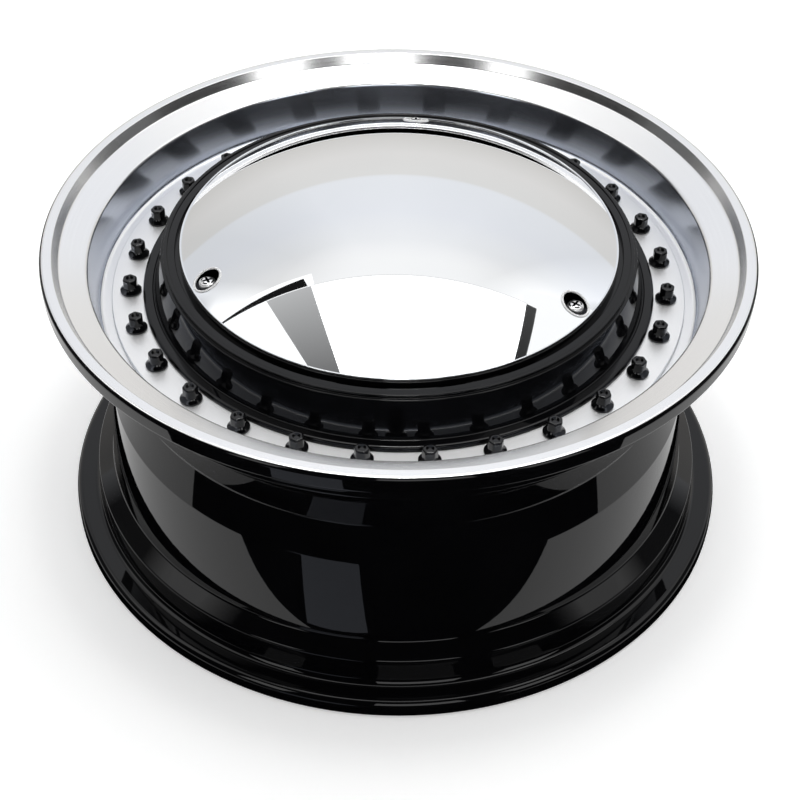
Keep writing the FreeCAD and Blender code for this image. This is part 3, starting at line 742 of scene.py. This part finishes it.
# Each line gives a card's corners, its height and its radiance, or its radiance at front and back.
level_card("softbox", ((-0.66, -0.46), (1.03, -0.46), (-0.66, 0.5), (1.03, 0.5)), CEILING, 2.6)
level_card("softbox_edge", ((-0.65, 0.497), (1.03, 0.497), (-0.65, 0.507), (1.03, 0.507)),
           CEILING - 0.02, 0.86)
level_card("grey_flag", ((-0.68, -0.3), (-0.43, -0.38), (-1.06, 0.5), (-0.65, 0.5)),
           CEILING - 0.01, 0.17, 0.52)
level_card("flag_top", ((-1.75, 0.5), (-0.67, 0.5), (-1.75, 0.515), (-0.71, 0.6)),
           CEILING - 0.03, 0.01)
level_card("dark_gap", ((0.887, -0.5), (0.985, -0.5), (1.02, 0.5), (1.13, 0.5)),
           CEILING - 0.01, 0.012, 0.065)
level_card("left_panel", ((-2.2, -0.46), (-0.43, -0.46), (-2.2, 0.65), (-0.66, 0.65)),
           CEILING + 0.01, 1.3)
level_card("right_panel", ((1.0, -0.46), (2.2, -0.46), (1.0, 0.65), (2.2, 1.1)),
           CEILING + 0.01, 1.1)
level_card("lamp", ((-0.08, -0.1), (0.12, -0.1), (-0.08, 0.1), (0.12, 0.1)), CEILING - 0.015, 24.0)

# Upright panels stand in front, either side of the camera and above it, with dark gaps between them.
PANEL_AWAY = 2.2
for k, (first, last) in enumerate(((-45, -31), (-5, 21), (35, 53))):
    bearings = [math.radians(a) for a in (first, last)]
    ends = [(PANEL_AWAY * math.sin(a), -PANEL_AWAY * math.cos(a)) for a in bearings]
    card(f"front_panel_{k}", [(x, y, z) for z in (0.55, 1.9) for x, y in ends], 2.0)

# In the photograph the black barrel mirrors a floor that is mostly dark: dark in front and far off, dim
# nearer, dark at the wheel's foot, with one pale window. These cards lie just over the paper, show only in
# reflections, and hide the pale paper from them.
UNDERFOOT = cad_low.z + 0.001
level_card("dark_front", ((-12, -12), (12, -12), (-12, -0.243), (12, -0.243)), UNDERFOOT + 0.001, 0.0)
glow = level_card("window", ((-0.085, -0.245), (-0.025, -0.259), (-0.34, -0.535), (-0.125, -0.524)),
                  UNDERFOOT + 0.002, 0.6)
glow.inputs["Color"].default_value = colour("#e6ecfa")
DISCS = (("dark_far", 12, 0, 0), ("dim_disc", 0.8, 0.0003, 1.0), ("dark_ring", 0.256, 0.0006, 0))
for name, radius, up, level in DISCS:   # up is metres over the first card, and level is radiance
    start_afresh()
    bpy.ops.mesh.primitive_circle_add(vertices=192, radius=radius, fill_type="NGON",
                                      location=(0, 0, UNDERFOOT + up))
    bpy.context.object.name = name
    bpy.context.object.data.materials.append(glowing(name, level, level, -1, 1)[0])
    bpy.context.object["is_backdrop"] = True
for name in ("dark_front", "dark_far", "dim_disc", "dark_ring", "window"):
    piece = bpy.data.objects[name]
    piece.visible_camera = False
    piece.visible_diffuse = False
    piece.visible_shadow = False
print("softbox at", CEILING, "m, reflection cards from", round(UNDERFOOT, 4), "m")

# %% [markdown]
# The tent itself is the world's colour. One band of tones runs up the back wall and over the top, and
# another runs round the sides. Their product is mixed to a pale roof overhead and to a grey skirt low
# at both sides.

# %% World
world = bpy.data.worlds.new("white_tent")
bpy.context.scene.world = world
world.use_nodes = True
tree = world.node_tree
tree.nodes.clear()
way = add_node(tree, "ShaderNodeTexCoord").outputs["Generated"]
split = add_node(tree, "ShaderNodeSeparateXYZ", {"Vector": way})
height = add_node(tree, "ShaderNodeMath", {0: split.outputs["Z"]}, operation="ARCSINE")
rise = add_node(tree, "ShaderNodeMath", {0: height.outputs["Value"]}, operation="DEGREES")
bearing = add_node(tree, "ShaderNodeMath", {0: split.outputs["X"], 1: split.outputs["Y"]},
                   operation="ARCTAN2")
turn = add_node(tree, "ShaderNodeMath", {0: bearing.outputs["Value"]}, operation="DEGREES")
aside = add_node(tree, "ShaderNodeMath", {0: turn.outputs["Value"]}, operation="ABSOLUTE")
slope = add_node(tree, "ShaderNodeMath", {0: split.outputs["Z"], 1: split.outputs["Y"]},
                 operation="ARCTAN2")
climb = add_node(tree, "ShaderNodeMath", {0: slope.outputs["Value"]}, operation="DEGREES")
share = add_node(tree, "ShaderNodeMapRange", {"Value": climb.outputs["Value"],
                                              "From Min": -30.0, "From Max": 180.0})
about = add_node(tree, "ShaderNodeMapRange", {"Value": turn.outputs["Value"],
                                              "From Min": -180.0, "From Max": 180.0})
tent = add_node(tree, "ShaderNodeValToRGB", {"Fac": share.outputs["Result"]})
sides = add_node(tree, "ShaderNodeValToRGB", {"Fac": about.outputs["Result"]})
# Degrees: from below the back wall's foot, over the top, to the front; and round from behind the camera.
TENT_STOPS = ((-30, "#b6b3ae"), (-12, "#c4c1bd"), (3, "#d8d6d3"), (15, "#e4e2e0"), (27.8, "#e5e4e2"),
              (28.4, "#edeff3"), (45, "#eef0f5"), (56, "#f5f6f8"), (60, "#fcfcfd"), (63, "#ffffff"),
              (100, "#ffffff"), (107, "#202020"), (180, "#101010"))
SIDE_STOPS = ((-180, "#101010"), (-132, "#181818"), (-122, "#f8f8f8"), (-62, "#ffffff"), (-52, "#d6d6d6"),
              (-38, "#d8d8d8"), (-18, "#e9e9e9"), (0, "#ebebeb"), (20, "#e9e9e9"), (42, "#dfdfdf"),
              (58, "#ffffff"), (100, "#f8f8f8"), (112, "#181818"), (180, "#101010"))
for node, stops, low, high in ((tent, TENT_STOPS, -30, 180), (sides, SIDE_STOPS, -180, 180)):
    band = node.color_ramp
    while len(band.elements) < len(stops):
        band.elements.new(0.5)
    for element, (value, tone) in zip(band.elements, stops):
        element.position = (value - low) / (high - low)
        element.color = colour(tone)
roof = add_node(tree, "ShaderNodeMapRange", {"Value": rise.outputs["Value"],
                                             "From Min": 52.0, "From Max": 66.0})
walls = add_node(tree, "ShaderNodeMix", {"Factor": roof.outputs["Result"], "A": sides.outputs["Color"],
                                         "B": colour("#ebebeb")}, data_type="RGBA")
beside = add_node(tree, "ShaderNodeMapRange", {"Value": aside.outputs["Value"],
                                               "From Min": 56.0, "From Max": 64.0})
below = add_node(tree, "ShaderNodeMapRange", {"Value": rise.outputs["Value"],
                                              "From Min": 39.0, "From Max": 34.0})
skirt = add_node(tree, "ShaderNodeMath", {0: beside.outputs["Result"], 1: below.outputs["Result"]},
                 operation="MULTIPLY")
hung = add_node(tree, "ShaderNodeMix", {"Factor": skirt.outputs["Value"], "A": walls.outputs["Result"],
                                        "B": colour("#555555")}, data_type="RGBA")
mixed = add_node(tree, "ShaderNodeVectorMath", {0: tent.outputs["Color"], 1: hung.outputs["Result"]},
                 operation="MULTIPLY")
glow = add_node(tree, "ShaderNodeBackground", {"Color": mixed.outputs["Vector"], "Strength": 1.22})
add_node(tree, "ShaderNodeOutputWorld", {"Surface": glow.outputs["Background"]})

# %% [markdown]
# ## Hand-over
# The view transform is set to Standard, so that colours come out as written. The size of the dressed
# wheel is written beside the CAD model's, to show that nothing has grown.

# %% Finish
bpy.context.scene.view_settings.view_transform = "Standard"
low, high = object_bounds()
print("visual box in mm:", [round(v * 1000, 1) for v in (high - low)])
